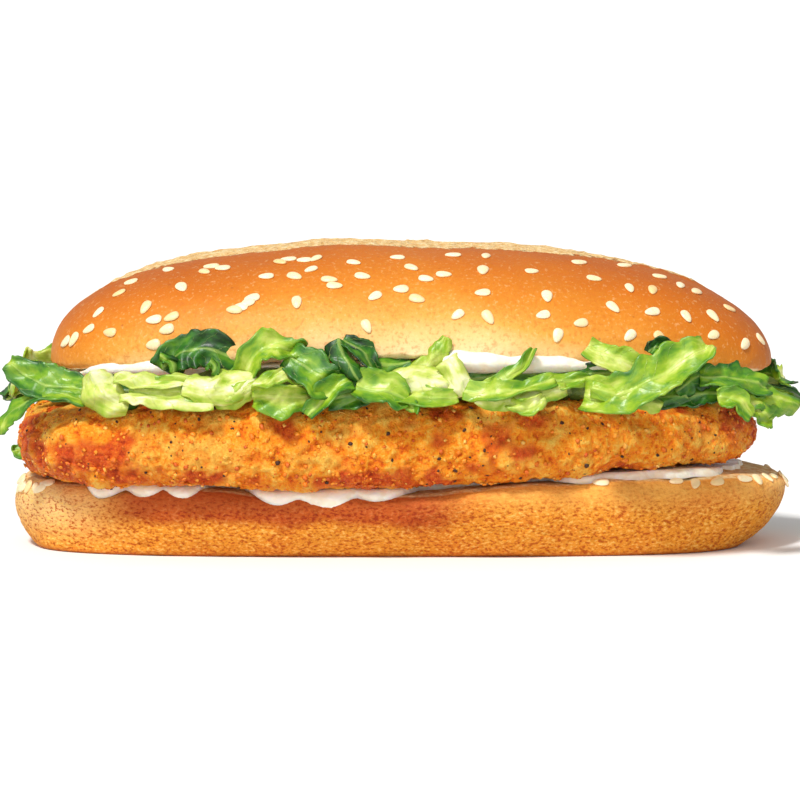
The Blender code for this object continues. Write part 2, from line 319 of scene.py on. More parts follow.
def heel_rings():
    turns = even_turns(900, heel_length, heel_width, ROLL_SQUARENESS)
    belly = oval(turns, heel_length, heel_width, ROLL_SQUARENESS)
    foot = oval(turns, *HEEL_FOOT, HEEL_FOOT_SQUARENESS) + (HEEL_FOOT_SHIFT, 0)
    cut = oval(turns, heel_length - 2 * HEEL_SHOULDER, heel_width - 2 * HEEL_SHOULDER, ROLL_SQUARENESS)
    heights = HEEL_BELLY_HEIGHT + HEEL_BELLY_RISE * 2 * belly[:, 0] / heel_length
    rings = [ring_at(foot * share, 0) for share in (0.1, 0.5, 0.9, 0.985)]
    for up in np.linspace(0.02, 1, 27):
        out = 1 - (1 - up) ** HEEL_FLARE
        rings.append(ring_at(foot + (belly - foot) * out, heights * up))
    for turn in np.linspace(0, pi / 2, 13)[1:]:
        rise = (heel_cut_height(cut[:, 0]) - heights) * sin(turn)
        rings.append(ring_at(cut + (belly - cut) * cos(turn), heights + rise))
    for share in np.linspace(1, 0.03, 16)[1:]:
        rings.append(ring_at(cut * share, heel_cut_height(cut[:, 0] * share)))
    return np.array(rings)


def make_heel():
    rings = heel_rings()
    normals = face_normals(rings)
    pores = rings * (0.75, 0.75, 1.25)
    side = smooth(rings[..., 2], 0, 1.5 * MM)
    pitted = side * smooth(rings[..., 2], 15.5 * MM, 11 * MM)
    push = relief(rings, ((16 * MM, 0.9 * MM), (6 * MM, 0.22 * MM)), 1) * side
    pits = relief(pores, ((1.3 * MM, 0.3 * MM), (0.7 * MM, 0.14 * MM)), 2)
    push += np.minimum(pits, 0.02 * MM) * (0.15 * side + 0.85 * pitted)
    holes = relief(pores, ((2.6 * MM, 1.0),), 6)
    push -= 0.5 * MM * smooth(holes, 0.28, 0.5) * smooth(-rings[..., 2], -8 * MM, -3 * MM) * side
    rings = rings + normals * push[..., None]
    rings[:4, :, 2] = 0
    rings[..., :2] += (heel_middle.x, heel_middle.y)
    return body_of_rings("heel_bread", rings, heel_crust())


heel = make_heel()
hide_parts("bun_heel")
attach(heel, "root")


# ---- The lower mayonnaise ------------------------------------------------------------
# A thick cold sauce spread on the heel. The fillet has pressed it out, so that it hangs over the heel's
# shoulder in round drops on the left and lies as a blunt smear on the cut face on the right. It is opaque,
# cream and wet.


def mayonnaise():
    material, place = new_material("mayonnaise")
    soft = place.grain(3 * MM, 2)
    cream = soft.between(0.35, 0.65).tint(srgb(250, 238, 216), srgb(254, 248, 236))
    bump = (soft * 0.5 * MM).bumps()
    sockets = {"Base Color": cream, "Roughness": 0.2 + 0.15 * soft, "Normal": bump}
    finish_surface(place, sockets, 0.35, (1, 0.7, 0.4), 1.2 * MM)
    return material


MAYONNAISE = mayonnaise()
FILLET_RIGHT_LIFT = 3.4 * MM
# How far in from the cut edge the sauce starts to follow the shoulder
SAUCE_DEPTH = 9 * MM
# Drops at the front: place along the roll, half their width, how far they hang past the cut edge, in mm
LOWER_DROPS = (
    (-67, 9.0, 4.4),
    (-57, 7.0, 3.6),
    (-49, 6.0, 3.9),
    (-27, 9.0, 4.4),
    (-17, 10.0, 5.0),
    (-5, 9.0, 3.2),
    (41, 7.0, 1.4),
    (51, 9.0, 0.6),
    (62, 7.0, 1.0),
    (72, 8.0, 0.4),
)


def wet_edge(points, drops, rest, seed):
    """How far the sauce reaches past the edge all round: the drops in front, small waves elsewhere."""
    x, front = points[:, 0], smooth(-points[:, 1], 8 * MM, 22 * MM)
    reach = np.full(len(points), rest)
    for place, half_width, hang in drops:
        share = np.clip(1 - ((x - place * MM) / (half_width * MM)) ** 2, 0, 1)
        drop = rest + (hang * MM - rest) * share**0.5
        reach = 0.6 * MM * np.log(np.exp(reach / (0.6 * MM)) + np.exp(drop / (0.6 * MM)))
    waves = relief(ring_at(points, 0), ((9 * MM, 3.2 * MM), (3 * MM, 0.9 * MM)), seed)
    return front * (reach + 0.15 * waves) + (1 - front) * (waves - 0.5 * MM)


def make_lower_mayonnaise():
    """Follow the heel from its cut face over its shoulder, with a bead that swells at the edge."""
    outline_turns = even_turns(420, heel_length, heel_width, ROLL_SQUARENESS)
    inset = 2 * (HEEL_SHOULDER - 0.5 * MM)
    edge = oval(outline_turns, heel_length - inset, heel_width - inset, ROLL_SQUARENESS)
    reach = wet_edge(edge, LOWER_DROPS, -7 * MM, 4)
    ends = smooth(np.abs(edge[:, 0]), 66 * MM, 84 * MM)
    reach -= ends * np.where(edge[:, 0] > 0, 7 * MM, 16 * MM)
    outward = np.gradient(edge, axis=0)[:, ::-1] * (1, -1)
    outward /= np.linalg.norm(outward, axis=1, keepdims=True)
    raised = FILLET_RIGHT_LIFT * smooth(edge[:, 0], -5 * MM, 75 * MM)
    thick = 1.4 * MM + 0.15 * raised

    def on_heel(distance, lift):
        """Go this far out from the cut edge, over the shoulder and down the side, this far off the bread."""
        radius = HEEL_SHOULDER * 0.75
        bend = np.clip(distance / radius, 0, pi / 2 * 0.93)
        beyond = np.maximum(distance - radius * pi / 2 * 0.93, 0)
        flat = np.minimum(distance, 0) + radius * np.sin(bend) + lift * np.sin(bend)
        drop = radius * (1 - np.cos(bend)) + beyond
        where = edge + outward * flat[:, None]
        height = heel_cut_height(edge[:, 0]) - drop + lift * np.cos(bend) - 0.1 * MM
        return ring_at(where, height)

    rings = [ring_at(edge * share, heel_cut_height(edge[:, 0] * share) + 0.1 * MM) for share in (0.1, 0.7)]
    for share in np.linspace(0, 1, 10):
        distance = -SAUCE_DEPTH + (reach + SAUCE_DEPTH) * share
        rings.append(on_heel(distance, np.zeros(len(edge))))
    for share in np.linspace(1, 0, 22):
        distance = -SAUCE_DEPTH + (reach + SAUCE_DEPTH) * share
        swell = np.sqrt(np.clip(1 - share**5, 0, 1)) * (1 + 0.3 * np.exp(-(((share - 0.86) / 0.12) ** 2)))
        rings.append(on_heel(distance, thick * swell))
    for share in (0.7, 0.1):
        rings.append(ring_at(edge * share, heel_cut_height(edge[:, 0] * share) + thick))
    rings = np.array(rings)
    rings[..., :2] += (heel_middle.x, heel_middle.y)
    return body_of_rings("mayonnaise_below", rings, MAYONNAISE)


lower_mayonnaise = make_lower_mayonnaise()
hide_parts("mayo_lower")
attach(lower_mayonnaise, "root")


# ---- The fillet ----------------------------------------------------------------------
# Chicken breast in a coat of flour and breadcrumbs, deep-fried. The coat is knobbly, orange-gold with paler
# crumbs standing up, red-brown where it fried darkest, at the ends and in patches, and full of ground
# pepper.

FILLET_WIDTH = 70 * MM
FILLET_LENGTH = 168 * MM
FILLET_LEFT_SQUARENESS = 3.0
FILLET_RIGHT_SQUARENESS = 2.2
FILLET_TURN = radians(2.6)
FILLET_RIM = 9 * MM
FILLET_LEFT_LIFT = 0.8 * MM
FILLET_END_DROP = 3.6 * MM

fillet_low, fillet_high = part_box("chicken_fillet")
fillet_middle = (fillet_low + fillet_high) / 2


def breading():
    """The coat's colour follows its relief, kept at each corner as "proud", and frying patches over it."""
    material, place = new_material("breading")
    proud = place.kept("proud")
    toast = place.kept("toast")
    fine = place.grain(0.75 * MM, 4, 0.7)
    lift = 0.6 * proud + 1.5 * fine - 0.55
    crust = lift.colours(
        (0.10, srgb(212, 82, 4)),
        (0.34, srgb(246, 128, 12)),
        (0.56, srgb(254, 158, 26)),
        (0.92, srgb(255, 202, 88)),
    )
    dark = lift.colours(
        (0.10, srgb(150, 40, 4)),
        (0.45, srgb(212, 76, 8)),
        (0.95, srgb(246, 136, 34)),
    )
    pale = lift.colours((0.12, srgb(240, 138, 18)), (0.85, srgb(255, 204, 88)))
    crust = (place.grain(9 * MM, 3, 0.6).between(0.48, 0.62) * 0.8).tint(crust, pale)
    crust = (toast + 1.1 * (fine - 0.5)).between(0.25, 0.75).tint(crust, dark)
    bump = (fine * 0.8 * MM + place.grain(0.28 * MM, 2) * 0.2 * MM).bumps()
    sockets = {"Base Color": crust, "Roughness": 0.6 - 0.35 * fine, "Normal": bump, "Specular IOR Level": 0.3}
    finish_surface(place, sockets, 0.1, (1, 0.45, 0.15), 0.7 * MM)
    return material


def fillet_heights(x):
    """Height of the fillet's underside and top at this distance from its middle."""
    left = FILLET_LEFT_LIFT * smooth(-x, 45 * MM, 80 * MM)
    right = FILLET_RIGHT_LIFT * smooth(x, -5 * MM, 75 * MM)
    return fillet_low.z + left + right, fillet_high.z - FILLET_END_DROP * np.abs(2 * x / FILLET_LENGTH) ** 4


def fillet_outline(turns, inset):
    pointed = smooth(np.cos(turns), -0.3, 0.6)
    squareness = FILLET_LEFT_SQUARENESS + (FILLET_RIGHT_SQUARENESS - FILLET_LEFT_SQUARENESS) * pointed
    return oval(turns, FILLET_LENGTH - 2 * inset, FILLET_WIDTH - 2 * inset, squareness)


def fillet_rings():
    turns = even_turns(940, FILLET_LENGTH, FILLET_WIDTH, FILLET_LEFT_SQUARENESS)
    outer, inner = fillet_outline(turns, 0), fillet_outline(turns, FILLET_RIM)
    rings = [ring_at(inner * share, fillet_heights(inner[:, 0] * share)[0]) for share in (0.1, 0.6, 0.85)]
    for turn in np.linspace(-pi / 2, pi / 2, 58):
        p = inner + (outer - inner) * abs(cos(turn)) ** 0.75
        low, high = fillet_heights(p[:, 0])
        lift = np.sign(turn) * abs(sin(turn)) ** 0.9
        rings.append(ring_at(p, (low + high) / 2 + (high - low) / 2 * lift))
    for share in (0.95, 0.88, 0.8, 0.6, 0.35, 0.1):
        rings.append(ring_at(inner * share, fillet_heights(inner[:, 0] * share)[1]))
    return np.array(rings)


def crumb_relief(rings):
    """Knobs from wide lumps down to single crumbs, and how far each point stands out, 0 to 1."""
    knobs = relief(rings, ((19 * MM, 1.5 * MM), (8 * MM, 1.3 * MM)), 12)
    lumps = relief(rings, ((3.4 * MM, 1.0 * MM),), 13)
    crumbs = relief(rings, ((1.7 * MM, 0.5 * MM), (0.9 * MM, 0.42 * MM)), 14)
    coat = 0.6 * lumps + crumbs
    return knobs * 0.7 + coat, np.clip(0.5 + coat / (1.2 * MM), 0, 1)


def make_fillet():
    rings = fillet_rings()
    push, proud = crumb_relief(rings)
    x, z = rings[..., 0], rings[..., 2]
    patches = relief(rings, ((13 * MM, 1.2), (4.5 * MM, 0.8)), 21)
    ends = smooth(np.abs(x + 2 * MM), 66 * MM, 84 * MM) * np.where(x > 0, 1.2, 0.5)
    underside = smooth(-z, -fillet_low.z - 7 * MM, -fillet_low.z - 1 * MM) * 0.45
    toast = np.clip(patches * 1.05 + ends + underside - 0.04, -0.5, 1.1)
    rings = rings + face_normals(rings) * push[..., None]
    turn = np.array(((cos(FILLET_TURN), -sin(FILLET_TURN)), (sin(FILLET_TURN), cos(FILLET_TURN))))
    rings[..., :2] = rings[..., :2] @ turn.T + (fillet_middle.x, fillet_middle.y)
    return body_of_rings("chicken_fillet_breaded", rings, breading(), proud=proud, toast=toast), rings


fillet, fillet_skin = make_fillet()
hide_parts("chicken_fillet")
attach(fillet, "root")


# ---- The crumbs and pepper -----------------------------------------------------------
# Crumbs of the coat that came loose in the pan and cling to the fillet, up to 1.6 mm across, and the coarse
# black pepper that was ground into the flour. Both are fried fast to the coat.

CRUMBS = 3200
PEPPER_FLAKES = 300
# Half sizes, smallest and largest, in millimetres, and how flat a chip is for its width
CRUMB_SIZES = (0.22, 0.8)
PEPPER_SIZES = (0.18, 0.8)
CHIP_FLATNESS = (0.3, 0.5)


def lie_on(point, normal, turn, size):
    """The matrix that lays a small thing of this half size on a surface, turned about its normal."""
    sideways = normal.cross(Vector((0, 0, 1)))
    sideways = sideways.normalized() if sideways.length > 0.05 else Vector((1, 0, 0))
    upright = normal.cross(sideways)
    rest = Matrix((sideways, upright, normal)).transposed() @ Matrix.Rotation(turn, 3, "Z")
    return Matrix.Translation(point) @ rest.to_4x4() @ Matrix.Diagonal((*size, 1))


def scatter(name, shape, places, material):
    """One mesh of many copies of a shape. Each corner keeps its copy's own number from 0 to 1 as "each"."""
    base, faces = shape
    homogeneous = np.column_stack((base, np.ones(len(base))))
    corners = [(homogeneous @ np.array(matrix).T)[:, :3] for matrix, _ in places]
    all_faces = [tuple(c + i * len(base) for c in face) for i in range(len(places)) for face in faces]
    each = np.repeat([number for _, number in places], len(base))
    piece = make_piece(name, np.concatenate(corners), all_faces, material, each=each)
    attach(piece, "root")
    return piece


def chip_shape(seed, rough):
    """A small knobbly crumb of about radius 1."""
    up = (1 + 5**0.5) / 2
    corners = [(0, s, t * up) for s in (-1, 1) for t in (-1, 1)]
    corners += [(s, t * up, 0) for s in (-1, 1) for t in (-1, 1)]
    corners += [(t * up, 0, s) for s in (-1, 1) for t in (-1, 1)]
    corners = np.array(corners) / (1 + up * up) ** 0.5
    near = [[j for j in range(12) if 0.1 < np.linalg.norm(corners[i] - corners[j]) < 1.1] for i in range(12)]
    faces = []
    for i in range(12):
        for j in near[i]:
            for k in near[i]:
                if i < j < k and k in near[j]:
                    outward = np.dot(np.cross(corners[j] - corners[i], corners[k] - corners[i]), corners[i])
                    faces.append((i, j, k) if outward > 0 else (i, k, j))
    push = 1 + rough * relief(corners, ((0.7, 1.0),), seed)
    return corners * push[:, None], faces


def crumb_crust():
    material, place = new_material("loose_crumbs")
    each = place.kept("each")
    fine = place.grain(0.5 * MM, 3)
    gold = (each + 0.4 * (fine - 0.5)).colours(
        (0.0, srgb(206, 86, 8)),
        (0.4, srgb(240, 128, 14)),
        (0.85, srgb(252, 160, 36)),
        (1.0, srgb(255, 198, 100)),
    )
    sockets = {"Base Color": gold, "Roughness": 0.4, "Normal": (fine * 0.3 * MM).bumps()}
    finish_surface(place, sockets, 0.15, (1, 0.5, 0.2), 0.6 * MM)
    return material


def pepper_flake():
    material, place = new_material("ground_pepper")
    shade = place.grain(0.4 * MM, 2).tint(srgb(38, 16, 8), srgb(84, 40, 18))
    finish_surface(place, {"Base Color": shade, "Roughness": 0.6})
    return material


def on_fillet(count, chance, sizes):
    """Random places on the fillet's skin, mostly where its rim shows."""
    normals = face_normals(fillet_skin)
    rings, around = fillet_skin.shape[:2]
    places = []
    for _ in range(count):
        i, j = chance.randrange(8, rings - 4), chance.randrange(around)
        normal = Vector(normals[i, j])
        half = sizes[0] * (sizes[1] / sizes[0]) ** (chance.random() ** 1.6) * MM
        size = (half, half * chance.uniform(0.6, 1), half * chance.uniform(*CHIP_FLATNESS))
        centre = Vector(fillet_skin[i, j]) + normal * 0.2 * half
        laid = lie_on(centre, normal, chance.uniform(0, 6.3), size)
        places.append((laid, chance.random()))
    return places


chance = Random(23)
crumbs = on_fillet(CRUMBS, chance, CRUMB_SIZES)
scatter("loose_crumbs", chip_shape(3, 0.9), crumbs, crumb_crust())
pepper = on_fillet(PEPPER_FLAKES, chance, PEPPER_SIZES)
scatter("ground_pepper", chip_shape(9, 0.7), pepper, pepper_flake())


# ---- The lettuce ---------------------------------------------------------------------
# Iceberg and green leaf lettuce torn into shreds and heaped on the fillet. Each shred is a thin, wet,
# translucent leaf: white-green at its rib, bright or deep green towards its torn and ruffled edge, curled
# as it fell.

LEAF_THICKNESS = 0.4 * MM
LEAF_STEPS = 36
LEAF_LANES = 16
ROUND_LEAVES = 84
CREASE_SEED = 4
CROWN_ARCH = 4.2 * MM

bed_low, bed_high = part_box("lettuce")


def lettuce_leaf():
    """Each corner keeps its place on its leaf ("lane": along, across, leaf number) and how green it is."""
    material, place = new_material("lettuce_leaf")
    green = place.kept("green")
    lane = place.kept("lane", "Vector")
    mottle = place.grain(3.2 * MM, 3)
    streaks = lane.stretched(0.16, 0.4, 1.0).grain(1.0, 3, 0.55)
    along, across = lane.axis("X"), abs(lane.axis("Y"))
    rib = (across + 0.8 * (mottle - 0.5)).between(0.55, 0.1)
    slanted = along - 1.1 * across + 5.0 * (mottle - 0.5)
    branch = slanted.maths("PINGPONG", slanted, 1.9).between(0.16, 0.0) * streaks.between(0.4, 0.55)
    tone = green + 0.9 * (streaks - 0.5) + 0.5 * (mottle - 0.5)
    leaf = tone.colours(
        (0.0, srgb(230, 232, 178)),
        (0.2, srgb(194, 206, 96)),
        (0.4, srgb(146, 178, 36)),
        (0.6, srgb(92, 144, 22)),
        (0.8, srgb(44, 104, 22)),
        (1.0, srgb(14, 50, 14)),
    )
    veins = rib * 0.3 + branch * 0.3
    leaf = veins.tint(leaf, srgb(206, 226, 120))
    bump = (rib * 0.1 * MM + branch * 0.08 * MM + mottle * 0.35 * MM).bumps()
    sockets = {"Base Color": leaf, "Roughness": 0.22 + 0.34 * mottle, "Normal": bump}
    finish_surface(place, sockets, 0.15, (0.6, 1, 0.15), 0.6 * MM)
    return material


class Heap:
    """Leaves gathered into one mesh."""

    def __init__(self, name, seed):
        self.name = name
        self.chance = Random(seed)
        self.corners, self.faces, self.green, self.lane = [], [], [], []

    def leaf(self, spine, width, face, curl, green, ruffle, twist=0.0, tips=(0.55, 0.25)):
        """One leaf along a smooth line through three or four spine points.

        width is across its middle, face is the way its upper side looks, curl is how far it bends round its
        spine towards that side, in radians, and tips are the shares of the width left at its two ends.
        """
        number = self.chance.uniform(0, 90)
        points = np.array([tuple(p) for p in spine])
        along = np.linspace(0, 1, LEAF_STEPS)
        nodes = np.linspace(0, 1, len(points))
        line = np.zeros((LEAF_STEPS, 3))
        for i, point in enumerate(points):
            others = np.delete(nodes, i)
            line += point * np.prod([(along - n) / (nodes[i] - n) for n in others], axis=0)[:, None]
        heading = np.gradient(line, axis=0)
        length = np.linalg.norm(heading, axis=1).sum()
        heading /= np.linalg.norm(heading, axis=1, keepdims=True)
        up = np.array(face, float) - heading * (heading @ np.array(face, float))[:, None]
        up /= np.linalg.norm(up, axis=1, keepdims=True)
        side = np.cross(heading, up)
        turned = (along - 0.5) * twist
        up, side = (
            up * np.cos(turned)[:, None] + side * np.sin(turned)[:, None],
            side * np.cos(turned)[:, None] - up * np.sin(turned)[:, None],
        )
        body = np.sin(pi * np.clip(along * 0.9 + 0.05, 0, 1)) ** 0.6
        body = body + (1 - body) * (tips[0] * (1 - along) + tips[1] * along)
        first = len(self.corners) * LEAF_STEPS * LEAF_LANES
        across = np.linspace(-1, 1, LEAF_LANES)
        leaf = np.zeros((LEAF_STEPS, LEAF_LANES, 3))
        tone = np.zeros((LEAF_STEPS, LEAF_LANES))
        for j, lane in enumerate(across):
            for i in range(LEAF_STEPS):
                edge = Vector((number, along[i] * length / (4 * MM), 3.0 * np.sign(lane)))
                ragged = noise.noise(edge * 2.3)
                torn = 1 + 0.34 * noise.noise(edge) - 0.5 * ruffle * max(ragged, 0) ** 1.3 * abs(lane) ** 2
                half = width / 2 * body[i] * torn
                angle = curl * lane
                bow = half * (sin(angle) / curl if abs(curl) > 0.05 else lane)
                lift = half * ((1 - cos(angle)) / curl if abs(curl) > 0.05 else 0)
                flat = Vector((along[i] * length / (7 * MM) + 0.4 * lane, bow / (6 * MM), number))
                fold = abs(noise.noise(flat)) * 2.6 + abs(noise.noise(flat * 2.1)) * 0.9 * ruffle
                wave = abs(lane) ** 2 * ruffle * 1.3
                wave *= noise.noise(Vector((number + 9, along[i] * length / (3.4 * MM), np.sign(lane))))
                here = line[i] + side[i] * bow + up[i] * (lift + (wave - fold) * MM)
                crease = noise.noise_vector(Vector(here / (7 * MM)) + Vector((number, 0, 0)))
                leaf[i, j] = here + np.array(crease) * 0.8 * MM
                tone[i, j] = green + 0.22 * (abs(lane) - 0.6) + 0.2 * noise.noise(edge * 0.6)
        end = np.repeat(along[:, None], LEAF_LANES, 1)
        lanes = np.repeat((across * width / 2 / MM)[None, :], LEAF_STEPS, 0)
        self.corners.append(leaf.reshape(-1, 3))
        self.green.append(tone.ravel())
        self.lane.append(np.stack((end * length / MM, lanes, np.full_like(end, number)), 2).reshape(-1, 3))
        for i in range(LEAF_STEPS - 1):
            for j in range(LEAF_LANES - 1):
                a = first + i * LEAF_LANES + j
                self.faces.append((a, a + 1, a + LEAF_LANES + 1, a + LEAF_LANES))

    def finish(self, material):
        corners = np.concatenate(self.corners)
        piece = make_piece(
            self.name,
            corners,
            self.faces,
            material,
            green=np.concatenate(self.green),
            lane=np.concatenate(self.lane),
        )
        thick = piece.modifiers.new("thickness", "SOLIDIFY")
        thick.thickness = LEAF_THICKNESS
        thick.offset = 0
        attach(piece, "root")
        return piece


noise.seed_set(CREASE_SEED)
LEAF = lettuce_leaf()
fillet_crest = fillet_high.z


def spot(x, deep, up):
    """A place in millimetres: along the roll, behind the heap's front, and above the fillet's top."""
    return Vector((x * MM, bed_low.y + deep * MM, fillet_crest + up * MM))


def make_front_leaves():
    """The leaves that show at the open front, from left to right."""
    heap = Heap("lettuce_front", 5)

    def leaf(places, width, *look):
        heap.leaf([spot(*place) for place in places], width * MM, *look)

    # left end: a broad ribbed leaf that points up and out, and one that arches over the fillet's end
    leaf(((-68, 10, 2.6), (-79, 13, 4.2), (-88, 16, 8.2)), 9, (-0.1, -1, 0.45), 0.5, 0.62, 0.5)
    leaf(((-70, 8, 0.8), (-80, 11, 1.6), (-87, 14, -2.6), (-89.5, 15, -8)), 6, (-0.3, -0.7, 1), 0.7, 0.6, 0.8)
    leaf(((-80, 26, -10), (-85, 28, -12), (-88, 28, -13)), 5, (0, -1, 0.3), 0.4, 0.62, 1.0)
    # a long pale leaf rolled open towards the front, with a dark hollow
    leaf(((-68.5, 6, 7.5), (-66, 4, 3.0), (-60, 4, -0.5)), 9, (-0.2, -1, 0.1), -0.7, 0.22, 0.6)
    leaf(((-63, 4, 5.8), (-54, 3, 5.6), (-45, 4, 5.2)), 4.5, (0, -0.8, 1), 0.9, 0.24, 0.5)
    leaf(((-62, 2, 2.6), (-52, 1, 1.8), (-41, 1, 1.2)), 4.2, (0, -0.6, 1), -0.8, 0.2, 0.6)
    leaf(((-67, 8, 3.0), (-63, 8, 2.4), (-58, 9, 3.0)), 9, (0, -1, 0.2), -0.6, 0.85, 0.4)
    leaf(((-60, 4, 3.6), (-50, 3, 3.4), (-40, 3, 3.2)), 7, (0, -1, 0.3), 0.5, 0.42, 0.6)
    # a deep green leaf standing behind, with curly bits
    leaf(((-53, 8, 7.5), (-45, 7, 12.5), (-35, 8, 8.5)), 9, (0, -1, 0.35), 0.5, 0.84, 0.7)
    leaf(((-53, 5, 11.0), (-50.5, 5, 9.5), (-51, 6, 6.5)), 4, (0, -1, 0.4), -1.2, 0.72, 1.8)
    leaf(((-42, 4, 10.0), (-41, 4, 8.5), (-42, 5, 7.0)), 5, (0, -1, 0.5), 1.2, 0.7, 2.0)
    # a pale yellow cup
    leaf(((-48, 2, 5.0), (-40, 1, 4.4), (-32, 3, 7.0)), 9.5, (0, -1, 0.35), -0.9, 0.2, 0.5)
    leaf(((-41, 2, 1.2), (-36, 1, 2.2), (-31, 3, 4.6)), 6, (0.2, -1, 0.1), -0.7, 0.36, 0.5)
    # a bright arch, a ruffled leaf under it, and a mid green face beside them
    leaf(((-35, 5, 6.5), (-30, 3, 13.2), (-21, 4, 12.2)), 8, (-0.1, -1, 0.5), 0.8, 0.46, 0.7)
    leaf(((-33, 1, 4.6), (-27, 0, 6.8), (-20, 2, 5.0)), 5.5, (0, -0.8, 1), 0.9, 0.3, 1.2)
    leaf(((-33, 2, 2.2), (-26, 0, 1.8), (-20, 3, 2.4)), 8.5, (0, -1, -0.1), 0.9, 0.4, 0.5)
    leaf(((-25, 3, 11.2), (-19, 1, 7.8), (-14, 2, 3.8)), 10, (0.2, -1, 0.35), 0.5, 0.7, 0.6)
    # a tall dark glossy curl, and a leaf that hangs over the fillet
    leaf(((-14, 3, 15.2), (-12, 1, 11.0), (-9, 1, 6.0)), 7, (0.3, -1, 0.2), -1.3, 0.88, 1.2, 0.8)
    leaf(((-12.5, 4, 14.6), (-8, 3, 12.0), (-4.5, 3, 7.0)), 6, (0.7, -1, 0.3), 1.0, 0.8, 1.0)
    leaf(((-10.5, 2, 5.8), (-16, -1, 3.4), (-20.8, -1, -2.0)), 6.5, (-0.3, -1, 0.5), 0.9, 0.6, 0.8)
    leaf(((-16, 4, 1.5), (-11, 3, 2.2), (-7, 3, 3.5)), 7, (0, -1, 0.1), 0.6, 0.78, 0.6)
    # a bright face-on leaf and a dark strip over it
    leaf(((-10, 0, 5.6), (-4, -1, 3.8), (1.5, 0, 1.8)), 8.5, (0.2, -1, 0.5), 0.5, 0.5, 0.5)
    leaf(((-8, 5, 9.5), (-3, 5, 9.6), (3, 6, 9.8)), 5, (0, -1, 0.6), -1.0, 0.82, 1.0)
    leaf(((2.5, -1, 2.2), (2.8, -2, 0.4), (3.0, -2, -1.4)), 3.2, (0.1, -1, 0.4), 0.8, 0.52, 1.2, 0.3)
    # a whitish cup, a light leaf pointing up, and a white-green triangle
    leaf(((-4, 3, 5.2), (4, 1, 6.6), (12, 2, 4.4)), 7.5, (0, -1, 0.4), -0.8, 0.12, 0.4)
    leaf(((-3, 2, 3.4), (4, 0, 2.6), (13, 1, 2.6)), 5, (0, -0.9, 0.6), 0.7, 0.36, 0.7)
    leaf(((2, 5, 8.0), (7, 4, 10.4), (10.5, 4, 15.4)), 5.5, (-0.2, -1, 0.3), -1.0, 0.36, 0.9)
    leaf(((10.5, 2, 11.0), (13, 1, 7.0), (14.5, 1, 2.2)), 7, (0.3, -1, 0.2), -0.7, 0.16, 0.5, 0.2, (0.9, 0.15))
    # a fan of narrow strips, one of them rising
    leaf(((15, 2, 3.2), (22, 1, 5.6), (30, 4, 13.0)), 3.2, (0, -1, 0.6), 0.7, 0.4, 0.5)
    leaf(((14, 1, 3.4), (23, -1, 3.8), (34, 1, 6.2)), 5.5, (0, -0.9, 0.7), 0.6, 0.44, 0.5)
    leaf(((16, 0, 2.6), (26, -1, 2.2), (37, 1, 4.4)), 5, (0, -1, 0.4), -0.5, 0.3, 0.5)
    leaf(((24, -1, 1.4), (28, -2, 0.4), (32, -1, 2.6)), 4.5, (0, -1, 0.3), 0.7, 0.34, 0.9)
    leaf(((28, 3, 4.6), (35, 2, 5.4), (42, 3, 6.0)), 5, (0, -1, 0.5), 0.8, 0.56, 0.8)
    # darker leaves that close the heap behind the strips and the ribbed leaf
    leaf(((12, 8, 5.8), (22, 7, 6.8), (32, 9, 6.4)), 7, (0, -1, 0.4), -0.8, 0.8, 1.4)
    leaf(((30, 8, 5.6), (38, 7, 6.6), (47, 8, 6.6)), 6, (0, -1, 0.4), 0.8, 0.7, 1.4)
    leaf(((56, 4, 1.4), (64, 3, 2.4), (73, 5, 2.6)), 6, (0, -1, 0.3), 0.8, 0.78, 1.2)
    # a yellow-green leaf, a large bright ribbed one before it, and a dark bit behind
    leaf(((41.5, 4, 13.2), (47, 3, 10.6), (54, 4, 8.2)), 6.5, (0, -1, 0.5), 0.6, 0.34, 0.5)
    leaf(((40, 1, 2.6), (51, -2, 4.4), (61, 0, 9.4), (68, 3, 14.0)), 11, (-0.1, -1, 0.5), 0.7, 0.44, 0.6)
    leaf(((42, -1, 4.4), (51, -2, 2.6), (58, -1, 0.6)), 5.5, (0, -1, 0.5), -0.6, 0.4, 0.7)
    leaf(((55, 5, 11.6), (58, 5, 13.4), (62, 6, 11.0)), 4.5, (0, -1, 0.5), 1.0, 0.86, 1.4)
    # right end: dark curls, then a bright ruffled cluster that points out and down
    leaf(((61, 2, 3.2), (65, 2, 5.8), (69, 4, 7.4)), 8, (0, -1, 0.3), -1.2, 0.82, 1.6)
    leaf(((66, 3, 6.8), (74, 4, 6.4), (82, 8, 4.0)), 8, (0.1, -0.9, 0.8), 0.7, 0.66, 1.0)
    leaf(((72, 2, 4.0), (80, 6, 2.6), (89.5, 12, -1.2)), 9, (0.2, -1, 0.5), -0.6, 0.52, 1.5)
    leaf(((70, 0, 2.4), (74, 0, 1.6), (78, 2, -2.6)), 6, (0.1, -1, 0.5), 0.9, 0.5, 1.0)
    leaf(((76, 4, 0.8), (81, 6, -1.6), (84, 8, -4.2)), 7, (0.3, -1, 0.3), 0.7, 0.5, 1.6)
    return heap.finish(LEAF)


